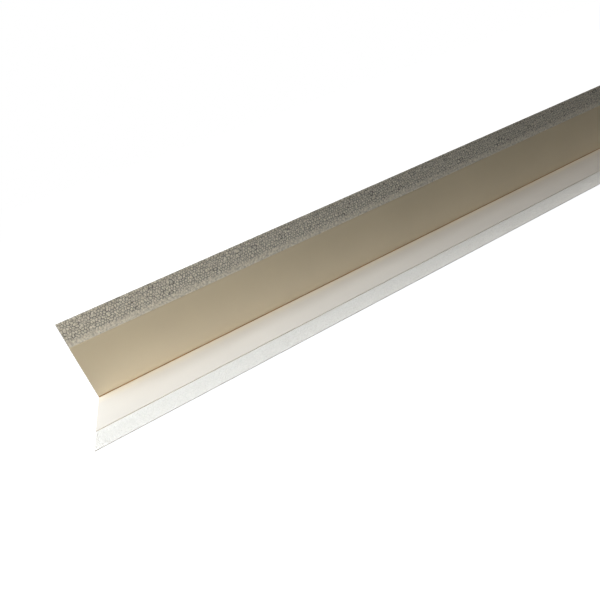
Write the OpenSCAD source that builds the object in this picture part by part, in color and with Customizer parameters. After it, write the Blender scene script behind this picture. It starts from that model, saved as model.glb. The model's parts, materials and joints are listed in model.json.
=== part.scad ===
// Internal corner trim: a long L-shaped plastic profile, extruded in one piece.
// One leg lies flat and the other stands up from its back edge. The inside of each
// leg is a thick smooth face next to the corner and a thinner band along the free edge.
// The length runs along X, the standing leg is at +Y, and the origin is in the middle
// of the footprint.

/* [Stock] */
// Length of the bar as it is sold
bar_length = 2000; // [500:100:3000]

/* [Legs] */
// Width of each leg, measured outside from the heel to the free edge
leg_w = 50; // [40:1:80]
// Thickness of the smooth part of each leg
face_t = 1; // [0.95:0.05:2]
// Outside radius of the heel, where the two legs meet
heel_r = 0.8; // [0.3:0.1:1.2]

/* [Bands] */
// Width of the thinner band along each free edge
band_w = 15.4; // [8:0.2:22]
// Thickness of the band beside the smooth face
band_root_t = 0.7; // [0.5:0.05:0.8]
// Thickness of the band at its free edge, which it tapers down to
band_edge_t = 0.4; // [0.35:0.05:0.5]
// Radius on both corners of each free edge
band_edge_r = 0.15; // [0.05:0.05:0.15]

/* [Borders] */
// Width of the fine groove beside each smooth face
border_w = 0.25; // [0.15:0.05:0.6]
// Depth of that groove below the band
border_depth = 0.15; // [0.05:0.05:0.25]
// Radius that rolls over the long edge of each smooth face
face_edge_r = 0.1; // [0.05:0.05:0.15]

/* [Corner] */
// Width of the crease that runs along the inside corner
crease_w = 0.6; // [0.4:0.1:0.8]
// Depth of the crease, from the inside corner to its round bottom
crease_depth = 0.5; // [0.4:0.05:0.7]

/* [Hidden] */
$fn = 48;
heel_y = leg_w / 2;
free_edge_y = heel_y - leg_w;
border_y = free_edge_y + band_w;
crease_r = crease_w / 2;

// Turns a section drawn for the lying leg into the one for the standing leg, by
// mirroring it in the line that halves the corner.
module on_standing_leg() {
    translate([heel_y, 0])
        mirror([1, 1])
            translate([-heel_y, 0])
                children();
}

// What is cut off a square corner to round it. The corner is at the origin and the
// material lies towards -X and +Y.
module corner_waste(r) {
    difference() {
        translate([-r, -r])
            square(2 * r);
        translate([-r, r])
            circle(r);
        translate([-2 * r, -r])
            square([r, 3 * r]);
        translate([-2 * r, r])
            square([3 * r, 2 * r]);
    }
}

// The thin band. Its back is flat, and its front slopes down to a free edge with two
// rounded corners.
module band_section() {
    translate([free_edge_y, 0]) {
        polygon([
            [band_edge_r, 0],
            [band_w, 0],
            [band_w, band_root_t],
            [band_edge_r, band_edge_t]
        ]);
        translate([0, band_edge_r])
            square([2 * band_edge_r, band_edge_t - 2 * band_edge_r]);
        for (corner_z = [band_edge_r, band_edge_t - band_edge_r])
            translate([band_edge_r, corner_z])
                circle(band_edge_r);
    }
}

// The thick smooth part, from the border to the heel.
module face_section() {
    difference() {
        translate([border_y, 0])
            square([leg_w - band_w, face_t]);
        translate([border_y, face_t])
            mirror([1, 0])
                mirror([0, 1])
                    corner_waste(face_edge_r);
    }
}

// The fine groove in the band, against the smooth face.
module border_groove() {
    translate([border_y - border_w, band_root_t - border_depth])
        square([border_w, 2 * border_depth]);
}

module leg_section() {
    difference() {
        union() {
            band_section();
            face_section();
        }
        border_groove();
    }
}

// A round-bottomed slot cut diagonally into the inside corner.
module crease_section() {
    translate([heel_y - face_t, face_t])
        rotate(-45)
            translate([crease_depth - crease_r, 0]) {
                circle(crease_r);
                translate([-2 * crease_depth, -crease_r])
                    square([2 * crease_depth, crease_w]);
            }
}

module trim_section() {
    difference() {
        union() {
            leg_section();
            on_standing_leg() leg_section();
        }
        crease_section();
        translate([heel_y, 0])
            corner_waste(heel_r);
    }
}

module corner_trim() {
    color([0.88, 0.85, 0.77])
        translate([-bar_length / 2, 0, 0])
            rotate([90, 0, 90])
                linear_extrude(bar_length)
                    trim_section();
}

corner_trim();
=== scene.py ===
# %% [markdown]
# # An internal corner trim
#
# The real object is a long L-shaped length of rigid plastic that covers the inside corner
# between two walls. Each leg has a smooth beige face next to the corner and a thinner,
# pale grey, grained band along its free edge. The two faces meet in a fine dark crease.
# This script loads the solid model as a fixed frame and finishes it: first the grain, then
# the plastics, and last the floor, the lamps and the camera.

# %% Load the solid model
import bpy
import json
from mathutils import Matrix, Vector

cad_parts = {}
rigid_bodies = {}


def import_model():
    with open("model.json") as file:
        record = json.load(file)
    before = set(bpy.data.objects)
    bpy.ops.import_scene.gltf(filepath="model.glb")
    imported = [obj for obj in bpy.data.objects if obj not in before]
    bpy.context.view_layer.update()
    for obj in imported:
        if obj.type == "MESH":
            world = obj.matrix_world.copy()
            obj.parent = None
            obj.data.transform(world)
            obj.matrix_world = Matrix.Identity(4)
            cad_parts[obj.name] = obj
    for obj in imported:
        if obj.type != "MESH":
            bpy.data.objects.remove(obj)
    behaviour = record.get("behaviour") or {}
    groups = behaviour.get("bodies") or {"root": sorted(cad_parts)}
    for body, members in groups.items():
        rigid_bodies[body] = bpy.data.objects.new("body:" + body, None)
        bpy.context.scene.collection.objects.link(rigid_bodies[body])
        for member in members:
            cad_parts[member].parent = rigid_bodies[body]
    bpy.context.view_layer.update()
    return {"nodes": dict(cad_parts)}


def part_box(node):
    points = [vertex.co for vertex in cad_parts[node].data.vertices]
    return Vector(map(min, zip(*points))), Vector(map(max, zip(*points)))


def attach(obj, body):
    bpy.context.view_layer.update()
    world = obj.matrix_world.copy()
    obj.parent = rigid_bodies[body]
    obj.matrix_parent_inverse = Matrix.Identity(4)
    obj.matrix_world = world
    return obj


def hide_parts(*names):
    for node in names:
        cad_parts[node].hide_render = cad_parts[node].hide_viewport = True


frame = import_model()

# %% Read the trim's size from the model
import json
import math

import bmesh
import bpy
from mathutils import Vector

MM = 0.001
NODE = "corner_trim"
low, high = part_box(NODE)
near_x = low.x
length = high.x - low.x
print("length", round(length / MM), "mm, leg", round((high.z - low.z) / MM), "mm")

# %% [markdown]
# ## The finished trim
#
# The grain is pressed into the bands while the plastic is warm, so it belongs to the same
# piece of stock. It could be a separate skin laid over each band, but then the mesh would
# have a layer that the real trim doesn't have. Here the trim is one closed mesh: it starts
# as a copy of the solid, so every thickness and radius of the section is already right, and
# only the two bands are cut into cells and raised.
#
# The solid's mesh is loose triangles. A copy of it is merged first, and then flat groups of
# triangles are dissolved, so that each long face of the profile is one face again.

# %% Copy the solid and clean the copy
WELD = 0.001 * MM
FLAT_ANGLE = math.radians(0.3)


def open_for_editing(piece, select_by):
    """Makes the piece the only selected object and opens it with nothing in it selected."""
    bpy.ops.object.select_all(action="DESELECT")
    piece.select_set(True)
    bpy.context.view_layer.objects.active = piece
    bpy.ops.object.mode_set(mode="EDIT")
    bpy.ops.mesh.select_mode(type=select_by)
    bpy.ops.mesh.select_all(action="DESELECT")


def close_editing():
    bpy.ops.object.mode_set(mode="OBJECT")


trim = bpy.data.objects.new("grained_corner_trim", frame["nodes"][NODE].data.copy())
bpy.context.scene.collection.objects.link(trim)
open_for_editing(trim, "VERT")
bpy.ops.mesh.customdata_custom_splitnormals_clear()
bpy.ops.mesh.select_all(action="SELECT")
bpy.ops.mesh.remove_doubles(threshold=WELD)
bpy.ops.mesh.dissolve_limited(angle_limit=FLAT_ANGLE)
close_editing()
print("the clean copy has", len(trim.data.polygons), "faces")

# %% [markdown]
# ## Finding the bands
#
# The bands are the only wide faces that lean a little, because they taper towards the free
# edge. So they can be found by their width and normal, with no face number written down.
# A band keeps its own plane here, because the grain's height is measured from it later. A
# point no further from that plane than the tallest bump could be still counts as the band's.

# %% Find the two bands
WIDE = 5 * MM
TALLEST = 1 * MM
LEAN = math.sin(math.radians(0.5))
Y_AXIS = 1
Z_AXIS = 2


class Band:
    """Where a band lies: its plane, and the direction that runs across it."""

    def __init__(self, name, mesh, face, across):
        self.name = name
        self.normal = face.normal.copy()
        self.centre = face.center.copy()
        self.across = across
        places = [mesh.vertices[i].co[across] for i in face.vertices]
        self.start = min(places)
        self.end = max(places)

    def height(self, point):
        return (point - self.centre).dot(self.normal)

    def holds(self, point, slack):
        """True for a point over the band that is no further than the slack from its plane."""
        inside = self.start - WELD < point[self.across] < self.end + WELD
        return inside and abs(self.height(point)) < slack

    def is_between_ends(self, point, room=WELD):
        """True for a point on the band or its long sides, further than the room from the ends."""
        return low.x + room < point.x < high.x - room and self.holds(point, TALLEST)

    def is_inner(self, point):
        """True for a point on the band that isn't on its outline."""
        clear = self.start + WELD < point[self.across] < self.end - WELD
        return clear and self.is_between_ends(point)


wide_faces = [face for face in trim.data.polygons if face.area > WIDE * length]
leaning = [face for face in wide_faces if LEAN < min(abs(face.normal.y), abs(face.normal.z))]
lying_face = max(leaning, key=lambda face: face.normal.z)
standing_face = min(leaning, key=lambda face: face.normal.y)
lying_band = Band("lying band", trim.data, lying_face, Y_AXIS)
standing_band = Band("standing band", trim.data, standing_face, Z_AXIS)
bands = [lying_band, standing_band]
for band in bands:
    print(band.name, "is", round((band.end - band.start) / MM, 2), "mm wide")

# %% [markdown]
# ## Cutting the bands into cells
#
# Each bump of the grain is a little over a millimetre and a half across. The long edges of
# each band are subdivided in two passes, because one pass makes at most a hundred cuts, and
# then the rungs between them are subdivided across the band. The neighbours keep one long
# face each.
#
# Square cells would leave straight valleys both ways, which no leather has. So every second
# rung is dissolved, a different one in each row, as in a brick wall. Each cell then has six
# neighbours, and never more than three valleys meet in a point.

# %% Cut the bands into a grid
CELL_LENGTH = 1.6 * MM
ROWS = 10
FIRST_PASS = 50
second_pass = round(2 * length / CELL_LENGTH / FIRST_PASS)
COLUMNS = FIRST_PASS * second_pass
ASKEW = 0.01


def along_the_bar(direction):
    return abs(direction.x) > 1 - ASKEW


def across_the_band(direction):
    return abs(direction.x) < ASKEW


def select_band_edges(piece, band, wanted):
    """Selects the edges in the band's plane whose direction passes the test."""
    mesh = bmesh.from_edit_mesh(piece.data)
    for edge in mesh.edges:
        start, end = (vert.co for vert in edge.verts)
        on_band = band.holds(start, WELD) and band.holds(end, WELD)
        edge.select = on_band and wanted((end - start).normalized())
    mesh.select_flush_mode()
    bmesh.update_edit_mesh(piece.data)


open_for_editing(trim, "EDGE")
for band in bands:
    for parts in (FIRST_PASS, second_pass):
        select_band_edges(trim, band, along_the_bar)
        bpy.ops.mesh.subdivide(number_cuts=parts - 1)
    select_band_edges(trim, band, across_the_band)
    bpy.ops.mesh.subdivide(number_cuts=ROWS - 1)
close_editing()
print("the grid has", COLUMNS, "columns and", ROWS, "rows")

# %% Take out every second rung
def is_second_rung(band, edge):
    """True for a rung of the grid that goes, which depends on its column and its row."""
    start, end = (vert.co for vert in edge.verts)
    middle = (start + end) / 2
    if not across_the_band((end - start).normalized()) or not band.is_inner(middle):
        return False
    column = round((middle.x - low.x) / length * COLUMNS)
    row = int((middle[band.across] - band.start) / (band.end - band.start) * ROWS)
    return (column + row) % 2 == 1


open_for_editing(trim, "EDGE")
mesh = bmesh.from_edit_mesh(trim.data)
for edge in mesh.edges:
    edge.select = any(is_second_rung(band, edge) for band in bands)
mesh.select_flush_mode()
bmesh.update_edit_mesh(trim.data)
bpy.ops.mesh.dissolve_edges(use_verts=True)
close_editing()
print("cells of both bands:", len(trim.data.polygons))

# %% [markdown]
# ## Shaking the cells out of line
#
# A leather grain has no rows. The corners of the cells are pushed about within the band by
# Displace modifiers that read a noise, one for each direction. The corners on the band's
# outline only slide along it, so the seams to the neighbouring faces stay closed, and those
# near the bar's ends don't slide, so that nothing sticks out there. Smoothing
# then pulls each inner corner a little towards its three neighbours. That turns the bricks
# into a honeycomb of uneven cells and opens the ones that the noise has pinched.

# %% Shake the corners of the cells
SHAKE = 2.6 * MM


def vertex_group(piece, name, wanted):
    """A vertex group of all the vertices whose places pass the test."""
    group = piece.vertex_groups.new(name=name)
    members = [vert.index for vert in piece.data.vertices if wanted(vert.co)]
    group.add(members, 1.0, "REPLACE")
    print(name, "has", len(members), "vertices")
    return group.name


def noise(name, size):
    texture = bpy.data.textures.new(name, "CLOUDS")
    texture.noise_scale = size
    texture.noise_depth = 0
    return texture


def displace(piece, texture, direction, strength, group):
    """Moves the group by the noise, along X, Y, Z or the normal, and applies it at once."""
    bpy.context.view_layer.objects.active = piece
    modifier = piece.modifiers.new("shift", "DISPLACE")
    modifier.texture = texture
    modifier.direction = direction
    modifier.strength = strength
    modifier.vertex_group = group
    bpy.ops.object.modifier_apply(modifier=modifier.name)


along_noise = noise("shift along", 0.9 * MM)
across_noise = noise("shift across", 1 * MM)
furthest = SHAKE / 2
for band, across in zip(bands, "YZ"):
    sliding = vertex_group(
        trim, band.name + " away from the ends", lambda point: band.is_between_ends(point, furthest))
    inner = vertex_group(trim, band.name + " inside its outline", band.is_inner)
    displace(trim, along_noise, "X", SHAKE, sliding)
    displace(trim, across_noise, across, SHAKE, inner)

# %% Smooth the net of valleys
EVENING = 0.5
PASSES = 1
open_for_editing(trim, "VERT")
mesh = bmesh.from_edit_mesh(trim.data)
for vert in mesh.verts:
    vert.select = any(band.is_inner(vert.co) for band in bands)
bmesh.update_edit_mesh(trim.data)
print("smoothing", sum(1 for vert in mesh.verts if vert.select), "corners of cells")
bpy.ops.mesh.vertices_smooth(factor=EVENING, repeat=PASSES)
close_editing()

# %% [markdown]
# Some bumps of the real grain are long or bent, because two or three have run together.
# So a few of the cells' edges, chosen at random with a fixed seed, are dissolved. All else is
# hidden first, because the random choice is made among all that can be seen.

# %% Join some cells
JOINED = 0.08


def select_edges(piece, wanted):
    """Selects the edges whose two ends both pass the test for one of the bands."""
    mesh = bmesh.from_edit_mesh(piece.data)
    for edge in mesh.edges:
        edge.select = any(all(wanted(band, vert.co) for vert in edge.verts) for band in bands)
    mesh.select_flush_mode()
    bmesh.update_edit_mesh(piece.data)


open_for_editing(trim, "EDGE")
select_edges(trim, Band.is_inner)
bpy.ops.mesh.hide(unselected=True)
bpy.ops.mesh.select_all(action="DESELECT")
bpy.ops.mesh.select_random(ratio=JOINED, seed=3)
bpy.ops.mesh.dissolve_edges(use_verts=False)
bpy.ops.mesh.reveal(select=False)
close_editing()
print("cells after joining:", len(trim.data.polygons))

# %% [markdown]
# ## Raising the bumps
#
# Poke gives each cell a point in its middle and lifts it, so that every cell becomes a low
# tent with as many sides as it has neighbours. Shaded smooth, a tent looks like a round
# bump. An inset with a flat top would need almost three times as many triangles.
#
# A tent may only be as steep as a pressed bump is, so its height depends on its reach, which
# is how far its middle is from its nearest side. The cells are raised in steps of reach.
# Where a bent cell's middle lies outside it or close to a side, the cell is first split
# into convex ones. Beside the smooth face the grain is pressed flatter, as on the real trim.

# %% Split the cells that can't carry a tent
IN_PLANE = 0.1 * MM
LEAST_REACH = 0.12 * MM


def reach_of(face):
    """How far the face's middle is inside its nearest side. Below 0, it is outside."""
    middle = face.calc_center_median_weighted()
    reach = length
    for loop in face.loops:
        start = loop.vert.co
        side = (loop.link_loop_next.vert.co - start).normalized()
        reach = min(reach, (middle - start).dot(face.normal.cross(side)))
    return reach


def cell_band(face):
    """The band that the face is a flat cell of, or None."""
    for band in bands:
        if all(band.holds(vert.co, IN_PLANE) for vert in face.verts):
            return band
    return None


open_for_editing(trim, "FACE")
mesh = bmesh.from_edit_mesh(trim.data)
for face in mesh.faces:
    face.select = cell_band(face) is not None and reach_of(face) < LEAST_REACH
print("splitting", sum(1 for face in mesh.faces if face.select), "cells")
bmesh.update_edit_mesh(trim.data)
bpy.ops.mesh.vert_connect_concave()
close_editing()

# %% Label the cells by their reach
# The label is kept as the face's material number, which each cell hands on to its tent.
REACHES = [0.5 * MM, 0.42 * MM, 0.34 * MM, 0.26 * MM, 0.18 * MM, 0.1 * MM, 0.04 * MM]
FLATTER_SHARE = 0.13


def share_from_border(band, point):
    """0 for a point at the smooth face, 1 for one at the free edge."""
    share = (point[band.across] - band.start) / (band.end - band.start)
    return 1 - share if band is lying_band else share


def label_of(face):
    """0 for no cell, then 1 for the widest reach and so on, and again beside the border."""
    band = cell_band(face)
    if band is None or reach_of(face) < REACHES[-1]:
        return 0
    label = 1 + sum(1 for least in REACHES if reach_of(face) < least)
    by_the_border = share_from_border(band, face.calc_center_median()) < FLATTER_SHARE
    return label + len(REACHES) if by_the_border else label


open_for_editing(trim, "FACE")
mesh = bmesh.from_edit_mesh(trim.data)
for face in mesh.faces:
    face.material_index = label_of(face)
bmesh.update_edit_mesh(trim.data)

# %% Raise the bumps
STEEPNESS = 0.85
FLATTER = 0.35
rises = [STEEPNESS * reach for reach in REACHES]
rises += [FLATTER * rise for rise in rises]
for label, rise in enumerate(rises, start=1):
    mesh = bmesh.from_edit_mesh(trim.data)
    for face in mesh.faces:
        face.select = face.material_index == label
    bmesh.update_edit_mesh(trim.data)
    raised = sum(1 for face in mesh.faces if face.select)
    print(raised, "bumps are raised by", round(rise / MM, 2), "mm")
    bpy.ops.mesh.poke(offset=rise)
close_editing()

# %% Count the folded slopes
UPRIGHT = 0.2
MOST_SIDES = 8


def is_folded(face):
    """True for a small face of the grain that doesn't face away from the trim."""
    for band in bands:
        on_band = all(band.holds(vert.co, TALLEST) for vert in face.verts)
        if on_band and len(face.verts) <= MOST_SIDES:
            return face.normal.dot(band.normal) < UPRIGHT
    return False


def count_folded(piece, what):
    check = bmesh.new()
    check.from_mesh(piece.data)
    check.normal_update()
    folded = sum(1 for face in check.faces if is_folded(face))
    open_edges = sum(1 for edge in check.edges if not edge.is_manifold)
    triangles = sum(len(face.verts) - 2 for face in check.faces)
    print(what, "open edges", open_edges, "triangles", triangles, "folded", folded)
    check.free()


count_folded(trim, "raised:")

# %% [markdown]
# ## Crisp valleys and round bumps
#
# The edges between the cells still lie in the band's plane, and those are marked sharp. All
# other edges of the grain are smooth, so that every bump is shaded round. Then the bumps are
# made a little uneven, and they sink by a third of their height, which is the mean height of
# a tent, so that the band keeps its mean thickness.

# %% Mark the valleys
AT_THE_BOTTOM = 0.03 * MM


def lies_in_valley(band, point):
    return band.holds(point, AT_THE_BOTTOM)


open_for_editing(trim, "EDGE")
bpy.ops.mesh.select_all(action="SELECT")
bpy.ops.mesh.mark_sharp(clear=True)
select_edges(trim, lies_in_valley)
bpy.ops.mesh.mark_sharp()
close_editing()
places = [vert.co for vert in trim.data.vertices if lying_band.holds(vert.co, TALLEST)]
tops = sorted(height for height in map(lying_band.height, places) if height > AT_THE_BOTTOM)
bump_height = tops[len(tops) // 2]
print("a bump is", round(bump_height / MM, 2), "mm high, the highest", round(tops[-1] / MM, 2), "mm")

# %% [markdown]
# The plastics further on need to know where the valleys are, because shade is painted into
# them. A noise in the material wouldn't follow the cells, so each point's height over the
# band is kept on the mesh as an attribute, before the bumps sink. It is 0 at the bottom of a
# valley and 1 from half a bump's height up, so that low bumps are as light as high ones.
# Near the smooth face the valleys are shallow, so they count less.

# %% Keep the height of every point
GRAIN_HEIGHT = "grain height"
LIGHT_FROM = 0.5
SHALLOW = 0.3


def valley_depth(band, point):
    """0 on a bump, 1 at the bottom of a deep valley, less in the shallow ones by the border."""
    depth = min(1, max(0, 1 - band.height(point) / (LIGHT_FROM * bump_height)))
    fading_in = min(1, share_from_border(band, point) / (2 * FLATTER_SHARE))
    return depth * (SHALLOW + (1 - SHALLOW) * fading_in)


grain_height = trim.data.attributes.new(GRAIN_HEIGHT, "FLOAT", "POINT")
for vert in trim.data.vertices:
    depths = [valley_depth(band, vert.co) for band in bands if band.holds(vert.co, TALLEST)]
    grain_height.data[vert.index].value = 1 - sum(depths)
kept = [entry.value for entry in grain_height.data]
print("the grain height goes from", round(min(kept), 2), "to", round(max(kept), 2))

# %% Sink the bumps and make them uneven
UNEVEN = 0.14 * MM
swell = noise("uneven height", 1.7 * MM)
trim.vertex_groups.clear()
for band in bands:
    inner = vertex_group(trim, band.name + " inside its outline", band.is_inner)
    displace(trim, swell, "NORMAL", UNEVEN, inner)
    for vert in trim.data.vertices:
        if vert.groups and band.holds(vert.co, TALLEST):
            vert.co -= band.normal * bump_height / 3
trim.vertex_groups.clear()

# %% Shade the bumps smooth and the wide faces flat
NARROWEST = 0.2 * MM
FACES_ALONG = 0.9
open_for_editing(trim, "FACE")
bpy.ops.mesh.select_all(action="SELECT")
bpy.ops.mesh.faces_shade_smooth()
bpy.ops.mesh.select_all(action="DESELECT")
mesh = bmesh.from_edit_mesh(trim.data)
for face in mesh.faces:
    face.select = face.calc_area() > NARROWEST * length or abs(face.normal.x) > FACES_ALONG
bmesh.update_edit_mesh(trim.data)
bpy.ops.mesh.faces_shade_flat()
close_editing()
print("flat faces:", sum(1 for face in trim.data.polygons if not face.use_smooth))

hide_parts(NODE)
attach(trim, "root")
print(trim.name, "stands for the node", NODE)

# %% Check the mesh
# A few of the smallest slopes stay steeper than they should be, but no edge is open.
count_folded(trim, "finished:")

# %% [markdown]
# ## Effects that the plastics share
#
# The trim is drawn through a die, so its skin has faint lines along the bar, and its colour
# is never quite even. Four small node groups make what the plastics have in common. Each
# group only gives values and colours. They could be copied into every material, but then a
# change would have to be made many times. The shader stays in the material, so that every
# plastic can still be set on its own.

# %% Helper for node groups
def new_group(name, inputs, outputs):
    """An empty node group with its sockets. Returns it with its input and output nodes."""
    group = bpy.data.node_groups.new(name, "ShaderNodeTree")
    for title, kind, value in inputs:
        socket = group.interface.new_socket(name=title, in_out="INPUT", socket_type=kind)
        socket.default_value = value
    for title, kind in outputs:
        group.interface.new_socket(name=title, in_out="OUTPUT", socket_type=kind)
    return group, group.nodes.new("NodeGroupInput"), group.nodes.new("NodeGroupOutput")


def describe(group):
    print("the group", group.name, "has", len(group.nodes), "nodes")


NUMBER = "NodeSocketFloat"
COLOUR = "NodeSocketColor"
DIRECTION = "NodeSocketVector"

# %% Group: fine lines
# The stretch is the number of lines per metre along each axis. A low number along one axis
# draws the noise out into lines that run that way.
fine_lines, given, result = new_group(
    "fine lines", [("Stretch", DIRECTION, (2, 1200, 1200))], [("Lines", NUMBER)])
place = fine_lines.nodes.new("ShaderNodeTexCoord")
stretched = fine_lines.nodes.new("ShaderNodeVectorMath")
stretched.operation = "MULTIPLY"
streaks = fine_lines.nodes.new("ShaderNodeTexNoise")
streaks.inputs["Scale"].default_value = 1
streaks.inputs["Detail"].default_value = 3
fine_lines.links.new(place.outputs["Object"], stretched.inputs[0])
fine_lines.links.new(given.outputs["Stretch"], stretched.inputs[1])
fine_lines.links.new(stretched.outputs["Vector"], streaks.inputs["Vector"])
fine_lines.links.new(streaks.outputs["Fac"], result.inputs["Lines"])
describe(fine_lines)

# %% Group: uneven colour
uneven_colour, given, result = new_group(
    "uneven colour",
    [("Colour", COLOUR, (0.8, 0.8, 0.8, 1)), ("Amount", NUMBER, 0.03), ("Patches per metre", NUMBER, 40)],
    [("Colour", COLOUR)])
place = uneven_colour.nodes.new("ShaderNodeTexCoord")
patches = uneven_colour.nodes.new("ShaderNodeTexNoise")
patches.inputs["Detail"].default_value = 4
centred = uneven_colour.nodes.new("ShaderNodeMapRange")
centred.inputs["From Min"].default_value = 0.25
centred.inputs["From Max"].default_value = 0.75
centred.inputs["To Min"].default_value = -1
change = uneven_colour.nodes.new("ShaderNodeMath")
change.operation = "MULTIPLY_ADD"
change.inputs[2].default_value = 1
tinted = uneven_colour.nodes.new("ShaderNodeVectorMath")
tinted.operation = "SCALE"
uneven_colour.links.new(place.outputs["Object"], patches.inputs["Vector"])
uneven_colour.links.new(given.outputs["Patches per metre"], patches.inputs["Scale"])
uneven_colour.links.new(patches.outputs["Fac"], centred.inputs["Value"])
uneven_colour.links.new(centred.outputs["Result"], change.inputs[0])
uneven_colour.links.new(given.outputs["Amount"], change.inputs[1])
uneven_colour.links.new(given.outputs["Colour"], tinted.inputs[0])
uneven_colour.links.new(change.outputs["Value"], tinted.inputs["Scale"])
uneven_colour.links.new(tinted.outputs["Vector"], result.inputs["Colour"])
describe(uneven_colour)

# %% Group: painted valley shade
# The colour is full on the bumps and falls to a share of itself at the bottom of a valley,
# which paints the shade in the valleys. It is full from a low height on, so that the valleys
# are thin lines.
FULL_COLOUR_FROM = 0.27
painted_valley_shade, given, result = new_group(
    "painted valley shade",
    [("Colour", COLOUR, (0.8, 0.8, 0.8, 1)), ("Valley share", NUMBER, 0.5)],
    [("Colour", COLOUR)])
height = painted_valley_shade.nodes.new("ShaderNodeAttribute")
height.attribute_name = GRAIN_HEIGHT
share = painted_valley_shade.nodes.new("ShaderNodeMapRange")
share.inputs["From Max"].default_value = FULL_COLOUR_FROM
darkened = painted_valley_shade.nodes.new("ShaderNodeVectorMath")
darkened.operation = "SCALE"
painted_valley_shade.links.new(height.outputs["Fac"], share.inputs["Value"])
painted_valley_shade.links.new(given.outputs["Valley share"], share.inputs["To Min"])
painted_valley_shade.links.new(given.outputs["Colour"], darkened.inputs[0])
painted_valley_shade.links.new(share.outputs["Result"], darkened.inputs["Scale"])
painted_valley_shade.links.new(darkened.outputs["Vector"], result.inputs["Colour"])
describe(painted_valley_shade)

# %% Group: painted bounce light by the crease
# The colour changes to a second one towards the crease, over a reach in metres, which paints
# the bounce light between the two faces. On either face, the distance from the corner is the
# larger of those from the backs of the two legs.
painted_bounce_by_crease, given, result = new_group(
    "painted bounce light by the crease",
    [("Colour", COLOUR, (0.8, 0.8, 0.8, 1)), ("By the crease", COLOUR, (0.8, 0.7, 0.5, 1)),
     ("Reach", NUMBER, 0.01)],
    [("Colour", COLOUR)])
place = painted_bounce_by_crease.nodes.new("ShaderNodeTexCoord")
split = painted_bounce_by_crease.nodes.new("ShaderNodeSeparateXYZ")
from_standing = painted_bounce_by_crease.nodes.new("ShaderNodeMath")
from_standing.operation = "SUBTRACT"
from_standing.inputs[0].default_value = high.y
from_crease = painted_bounce_by_crease.nodes.new("ShaderNodeMath")
from_crease.operation = "MAXIMUM"
fade = painted_bounce_by_crease.nodes.new("ShaderNodeMapRange")
fade.interpolation_type = "SMOOTHSTEP"
fade.inputs["From Min"].default_value = 1 * MM
blend = painted_bounce_by_crease.nodes.new("ShaderNodeMix")
blend.data_type = "RGBA"
mix_factor, colour_at_crease, colour_away = (blend.inputs[number] for number in (0, 6, 7))
painted_bounce_by_crease.links.new(place.outputs["Object"], split.inputs["Vector"])
painted_bounce_by_crease.links.new(split.outputs["Y"], from_standing.inputs[1])
painted_bounce_by_crease.links.new(from_standing.outputs["Value"], from_crease.inputs[0])
painted_bounce_by_crease.links.new(split.outputs["Z"], from_crease.inputs[1])
painted_bounce_by_crease.links.new(from_crease.outputs["Value"], fade.inputs["Value"])
painted_bounce_by_crease.links.new(given.outputs["Reach"], fade.inputs["From Max"])
painted_bounce_by_crease.links.new(fade.outputs["Result"], mix_factor)
painted_bounce_by_crease.links.new(given.outputs["By the crease"], colour_at_crease)
painted_bounce_by_crease.links.new(given.outputs["Colour"], colour_away)
painted_bounce_by_crease.links.new(blend.outputs[2], result.inputs["Colour"])
describe(painted_bounce_by_crease)

# %% Helpers for a plastic
def new_plastic(name, specular):
    """A material with its shader, ready for its colour, roughness and bump."""
    material = bpy.data.materials.new(name)
    material.use_nodes = True
    shader = material.node_tree.nodes["Principled BSDF"]
    shader.inputs["Specular IOR Level"].default_value = specular
    print("new plastic:", name)
    return material, material.node_tree, shader


def use_group(tree, group, **values):
    """Places a group in a material. Its values are given by socket, with _ for a space."""
    node = tree.nodes.new("ShaderNodeGroup")
    node.node_tree = group
    for title, value in values.items():
        node.inputs[title.replace("_", " ")].default_value = value
    return node


def spread_roughness(tree, shader, pattern, low_end, high_end):
    """Turns a pattern that is mostly between 0.3 and 0.7 into a range of roughness."""
    between = tree.nodes.new("ShaderNodeMapRange")
    between.inputs["From Min"].default_value = 0.3
    between.inputs["From Max"].default_value = 0.7
    between.inputs["To Min"].default_value = low_end
    between.inputs["To Max"].default_value = high_end
    tree.links.new(pattern, between.inputs["Value"])
    tree.links.new(between.outputs["Result"], shader.inputs["Roughness"])


def add_bump(tree, shader, pattern, depth):
    """Bumps the surface by a pattern. A bump that is already there is kept under it."""
    bump = tree.nodes.new("ShaderNodeBump")
    bump.inputs["Distance"].default_value = depth
    if shader.inputs["Normal"].is_linked:
        tree.links.new(shader.inputs["Normal"].links[0].from_socket, bump.inputs["Normal"])
    tree.links.new(pattern, bump.inputs["Height"])
    tree.links.new(bump.outputs["Normal"], shader.inputs["Normal"])


# %% [markdown]
# ## Smooth beige plastic
#
# The wide faces are satin: they show no mirror image, but a soft sheen that is broken by the
# lines of the die. A fine unevenness like the skin of an orange lies under the lines. Both
# faces are the same plastic, but the standing face gets a more golden beige, which is painted
# bounce light from the lying face.
# Beside the crease each face is lit by the other, and in the photograph it is lighter and
# more golden there than the lamps below make it, so its colour is warmed a little too.

# %% Smooth beige plastic
def smooth_plastic(name, beige, by_the_crease, reach):
    material, tree, shader = new_plastic(name, specular=0.12)
    # The colour by the crease paints the bounce light between the two faces.
    warmer = use_group(tree, painted_bounce_by_crease, Colour=beige, By_the_crease=by_the_crease, Reach=reach)
    colour = use_group(tree, uneven_colour, Amount=0.03, Patches_per_metre=25)
    lines = use_group(tree, fine_lines, Stretch=(2, 1200, 1200))
    peel = use_group(tree, fine_lines, Stretch=(1800, 1800, 1800))
    tree.links.new(warmer.outputs["Colour"], colour.inputs["Colour"])
    tree.links.new(colour.outputs["Colour"], shader.inputs["Base Color"])
    spread_roughness(tree, shader, lines.outputs["Lines"], low_end=0.4, high_end=0.52)
    add_bump(tree, shader, peel.outputs["Lines"], depth=0.01 * MM)
    add_bump(tree, shader, lines.outputs["Lines"], depth=0.01 * MM)
    return material


# The standing face's more golden beige is painted bounce light from the lying face.
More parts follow.
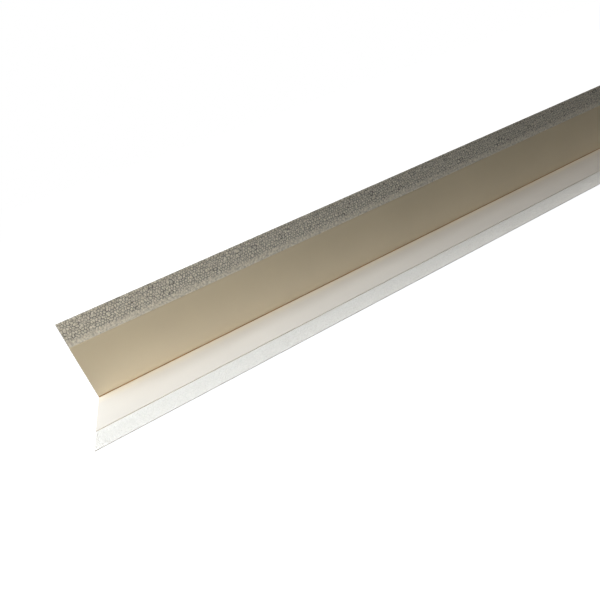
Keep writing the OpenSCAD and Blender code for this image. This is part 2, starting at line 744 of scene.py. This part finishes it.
BEIGE_WITH_PAINTED_BOUNCE = (0.82, 0.712, 0.52, 1)
PALE_BEIGE = (0.81, 0.73, 0.63, 1)
# The colours by the crease are painted bounce light.
PAINTED_BOUNCE_GOLD = (0.88, 0.78, 0.6, 1)
PAINTED_BOUNCE_BRIGHT_GOLD = (0.93, 0.815, 0.64, 1)
smooth_standing = smooth_plastic(
    "smooth plastic of the standing face", BEIGE_WITH_PAINTED_BOUNCE, by_the_crease=PAINTED_BOUNCE_GOLD, reach=28 * MM)
smooth_lying = smooth_plastic(
    "smooth plastic of the lying face", PALE_BEIGE, by_the_crease=PAINTED_BOUNCE_BRIGHT_GOLD, reach=11 * MM)

# %% [markdown]
# ## Grained grey plastic
#
# The bands are greyer than the faces and almost matt. Each bump catches the light on its top,
# and shade is painted into the valleys between them. Pits a fifth of a millimetre wide, too
# fine to be modelled, are left to the bump of the material. Both bands are the same plastic:
# the standing band gets a warmer grey, which is painted bounce light from the lying face, and
# much darker valleys, which is painted shade of the light that grazes it, so each band has
# its own values.

# %% Grained grey plastic
def grained_plastic(name, grey, amount, valley_share):
    material, tree, shader = new_plastic(name, specular=0.15)
    colour = use_group(tree, uneven_colour, Colour=grey, Amount=amount, Patches_per_metre=700)
    # The valleys get painted shade, read from the kept grain height.
    valleys = use_group(tree, painted_valley_shade, Valley_share=valley_share)
    pits = use_group(tree, fine_lines, Stretch=(2600, 2600, 2600))
    tree.links.new(colour.outputs["Colour"], valleys.inputs["Colour"])
    tree.links.new(valleys.outputs["Colour"], shader.inputs["Base Color"])
    spread_roughness(tree, shader, pits.outputs["Lines"], low_end=0.5, high_end=0.7)
    add_bump(tree, shader, pits.outputs["Lines"], depth=0.06 * MM)
    return material


# The standing band's warmer grey is painted bounce light, and its low valley share paints deep shade in
# its valleys; the lying band's valleys get almost none.
GREY_WITH_PAINTED_BOUNCE = (0.87, 0.818, 0.71, 1)
PALE_GREY = (0.81, 0.76, 0.685, 1)
grained_standing = grained_plastic(
    "grained plastic of the standing band", GREY_WITH_PAINTED_BOUNCE, amount=0.38, valley_share=0.15)
grained_lying = grained_plastic(
    "grained plastic of the lying band", PALE_GREY, amount=0.03, valley_share=0.93)

# %% [markdown]
# ## The crease and the sawn ends
#
# The crease is where the die left a fine groove, and its brown is painted shade deep in the
# groove, with the golden bounce light between the faces. The ends of the bar are sawn off, so
# they are matt and a little paler, with the marks of the saw across them.

# %% Crease with painted shade
# A brown that paints the shade and golden bounce light deep in the groove.
PAINTED_CREASE_SHADE = (0.66, 0.44, 0.2, 1)
crease, tree, shader = new_plastic("crease with painted shade", specular=0.2)
colour = use_group(tree, uneven_colour, Colour=PAINTED_CREASE_SHADE, Amount=0.15, Patches_per_metre=90)
lines = use_group(tree, fine_lines, Stretch=(12, 2500, 2500))
tree.links.new(colour.outputs["Colour"], shader.inputs["Base Color"])
spread_roughness(tree, shader, lines.outputs["Lines"], low_end=0.55, high_end=0.75)
add_bump(tree, shader, lines.outputs["Lines"], depth=0.03 * MM)

# %% Sawn ends
DUSTY_BEIGE = (0.8, 0.75, 0.65, 1)
sawn, tree, shader = new_plastic("sawn end", specular=0.2)
colour = use_group(tree, uneven_colour, Colour=DUSTY_BEIGE, Amount=0.08, Patches_per_metre=900)
marks = use_group(tree, fine_lines, Stretch=(60, 500, 5000))
tree.links.new(colour.outputs["Colour"], shader.inputs["Base Color"])
spread_roughness(tree, shader, marks.outputs["Lines"], low_end=0.6, high_end=0.85)
add_bump(tree, shader, marks.outputs["Lines"], depth=0.08 * MM)

# %% [markdown]
# Which face gets which plastic is told by its place: the ends by their normal, the bands by
# their planes, the free edges beyond the bands by their distance from the trim's outline, and
# the crease by its distance from the inner corner.

# %% Give every face its plastic
CREASE_REACH = 0.55 * MM
EDGE_REACH = 0.2 * MM
FACE_HEIGHT = 1 * MM
END_AREA = 10 * MM ** 2
plastics = [smooth_standing, smooth_lying, grained_standing, grained_lying, crease, sawn]
trim.data.materials.clear()
for plastic in plastics:
    trim.data.materials.append(plastic)
inner_corner = Vector((0, high.y - FACE_HEIGHT, FACE_HEIGHT))


def plastic_of(face):
    if abs(face.normal.x) > FACES_ALONG and face.area > END_AREA:
        return sawn
    if standing_band.holds(face.center, TALLEST) or face.center.z > high.z - EDGE_REACH:
        return grained_standing
    if lying_band.holds(face.center, TALLEST) or face.center.y < low.y + EDGE_REACH:
        return grained_lying
    in_section = Vector((0, face.center.y, face.center.z)) - inner_corner
    if in_section.length < CREASE_REACH:
        return crease
    return smooth_standing if in_section.z > -in_section.y else smooth_lying


for face in trim.data.polygons:
    face.material_index = plastics.index(plastic_of(face))
for number, plastic in enumerate(plastics):
    covered = sum(1 for face in trim.data.polygons if face.material_index == number)
    print(plastic.name, "on", covered, "faces")

# %% [markdown]
# ## Floor and backdrop
#
# The photograph shows the trim cut out on pure white. A real white sweep would throw a lot of
# light back onto the trim. Here the floor and the world are white only to the eye and to
# mirrors, by the Light Path node, and dark to the light that goes about the room. The
# floor is a trace below white round the trim, so that its shadow shows, and rises to full
# white further out, so that no horizon is seen.

# %% Floor
FLOOR_NEAR = 0.94
WHITE_FROM = 0.6
DARK_TO_LIGHT = 0.15
FLOOR_SIZE = 12
JUST_BELOW = -0.05 * MM
bpy.ops.object.select_all(action="DESELECT")
bpy.ops.mesh.primitive_plane_add(size=FLOOR_SIZE, location=(0, 0, JUST_BELOW))
floor = bpy.context.object
floor.name = "floor"
floor_material = bpy.data.materials.new("pale floor")
floor_material.use_nodes = True
floor.data.materials.append(floor_material)


def seen_directly(tree, otherwise):
    """The node that turns from a low value to a high one for the eye, a mirror or glass."""
    path = tree.nodes.new("ShaderNodeLightPath")
    camera_or_mirror = tree.nodes.new("ShaderNodeMath")
    camera_or_mirror.operation = "MAXIMUM"
    tree.links.new(path.outputs["Is Camera Ray"], camera_or_mirror.inputs[0])
    tree.links.new(path.outputs["Is Glossy Ray"], camera_or_mirror.inputs[1])
    or_glass = tree.nodes.new("ShaderNodeMath")
    or_glass.operation = "MAXIMUM"
    tree.links.new(camera_or_mirror.outputs["Value"], or_glass.inputs[0])
    tree.links.new(path.outputs["Is Transmission Ray"], or_glass.inputs[1])
    choice = tree.nodes.new("ShaderNodeMapRange")
    choice.inputs["To Min"].default_value = otherwise
    tree.links.new(or_glass.outputs["Value"], choice.inputs["Value"])
    return choice


tree = floor_material.node_tree
shader = tree.nodes["Principled BSDF"]
shader.inputs["Base Color"].default_value = (DARK_TO_LIGHT, DARK_TO_LIGHT, DARK_TO_LIGHT, 1)
shader.inputs["Roughness"].default_value = 1
shader.inputs["Specular IOR Level"].default_value = 0
shader.inputs["Emission Color"].default_value = (1, 1, 1, 1)
place = tree.nodes.new("ShaderNodeTexCoord")
bar_shaped = tree.nodes.new("ShaderNodeVectorMath")
bar_shaped.operation = "MULTIPLY"
bar_shaped.inputs[1].default_value = (0.5, 1, 1)    # the fade is twice as long along the bar
distance = tree.nodes.new("ShaderNodeVectorMath")
distance.operation = "LENGTH"
whiter = tree.nodes.new("ShaderNodeMapRange")
whiter.inputs["From Min"].default_value = WHITE_FROM / 2
whiter.inputs["From Max"].default_value = WHITE_FROM
whiter.inputs["To Min"].default_value = FLOOR_NEAR
glow = seen_directly(tree, 0)
tree.links.new(place.outputs["Object"], bar_shaped.inputs[0])
tree.links.new(bar_shaped.outputs["Vector"], distance.inputs[0])
tree.links.new(distance.outputs["Value"], whiter.inputs["Value"])
tree.links.new(whiter.outputs["Result"], glow.inputs["To Max"])
tree.links.new(glow.outputs["Result"], shader.inputs["Emission Strength"])
print("the floor is", round(floor.dimensions.x), "m wide and glows at", FLOOR_NEAR, "near the trim")

# %% [markdown]
# The world beyond the floor could be left black, but then the satin faces would mirror black
# at a flat angle. It is as white to the eye and to mirrors as the floor is far out, and gives
# off only a trace of light, which keeps the deepest shadows from going black.

# %% World
AMBIENT = 0.03
world = bpy.data.worlds.new("studio")
bpy.context.scene.world = world
world.use_nodes = True
background = world.node_tree.nodes["Background"]
background.inputs["Color"].default_value = (1, 1, 1, 1)
glow = seen_directly(world.node_tree, AMBIENT)
world.node_tree.links.new(glow.outputs["Result"], background.inputs["Strength"])
print("the world lights the trim at", AMBIENT)

# %% [markdown]
# ## Lamps
#
# In the photograph the lying leg is brightest at the near end and falls off along the bar, while
# the standing leg is much darker. That looks like one soft box right above the near end, a
# little cool, with a low warm one in front that reaches the standing leg. One big lamp
# would be simpler, but it would light the bar evenly. Long strips light the rest of the bar
# and its back, so that it looks right from other sides too.

# %% Lamps
def soft_lamp(name, place, aim, size, power, spread=180, colour=(1, 1, 1)):
    data = bpy.data.lights.new(name, "AREA")
    data.shape = "RECTANGLE"
    data.size, data.size_y = size
    data.energy = power
    data.spread = math.radians(spread)
    data.color = colour
    lamp = bpy.data.objects.new(name, data)
    bpy.context.scene.collection.objects.link(lamp)
    lamp.location = place
    lamp.rotation_euler = (Vector(aim) - Vector(place)).to_track_quat("-Z", "Y").to_euler()
    print("lamp", name, "gives", power, "W")


COOL_WHITE = (0.78, 0.885, 1.0)
WARM_WHITE = (1.0, 0.88, 0.7)
before_end = near_x - 0.1
past_end = near_x + 0.1
soft_lamp("key", place=(near_x - 0.18, 0.01, 0.34), aim=(before_end, 0.01, 0),
          size=(0.3, 0.35), power=1.66, colour=COOL_WHITE)
soft_lamp("behind the key", place=(near_x - 0.2, 0.12, 0.34), aim=(before_end, 0.05, 0),
          size=(0.3, 0.3), power=0.5, colour=COOL_WHITE)
soft_lamp("middle", place=(past_end, 0.05, 0.46), aim=(past_end, 0.05, 0),
          size=(0.3, 0.3), power=0.36)
soft_lamp("low front", place=(near_x - 0.15, -0.15, 0.06), aim=(near_x, 0, 0.02),
          size=(0.15, 0.08), power=0.19, colour=WARM_WHITE)
soft_lamp("long strip", place=(0.5, -0.1, 0.6), aim=(0.5, -0.1, 0),
          size=(1.3, 0.3), power=3, spread=140)
soft_lamp("back strip", place=(0, 0.5, 0.5), aim=(0, 0, 0), size=(2.2, 0.3), power=6)

# %% [markdown]
# ## Camera
#
# The photograph is taken from close to the near end, from above and in front, with a wide
# lens that makes the bar shrink fast. The place, the turn and the lens were worked out from
# the two ends of each edge of the profile. The camera could look straight at the bar, but the
# photograph holds it askew, so the camera is rolled by the same amount.

# %% Camera
camera_data = bpy.data.cameras.new("camera")
camera_data.sensor_width = 36
camera_data.lens = 25.61
camera_data.shift_y = -0.0612
camera_data.clip_start = 0.01
camera = bpy.data.objects.new("camera", camera_data)
bpy.context.scene.collection.objects.link(camera)
camera.location = (near_x + 0.0658, -0.2204, 0.1162)
camera.rotation_euler = (math.radians(68.69), math.radians(18.18), math.radians(-23.52))
bpy.context.scene.camera = camera
bpy.context.scene.view_settings.view_transform = "Standard"
to_near_end = camera.location - Vector((near_x, 0, 0))
print("the camera is", round(to_near_end.length / MM), "mm from the near end")
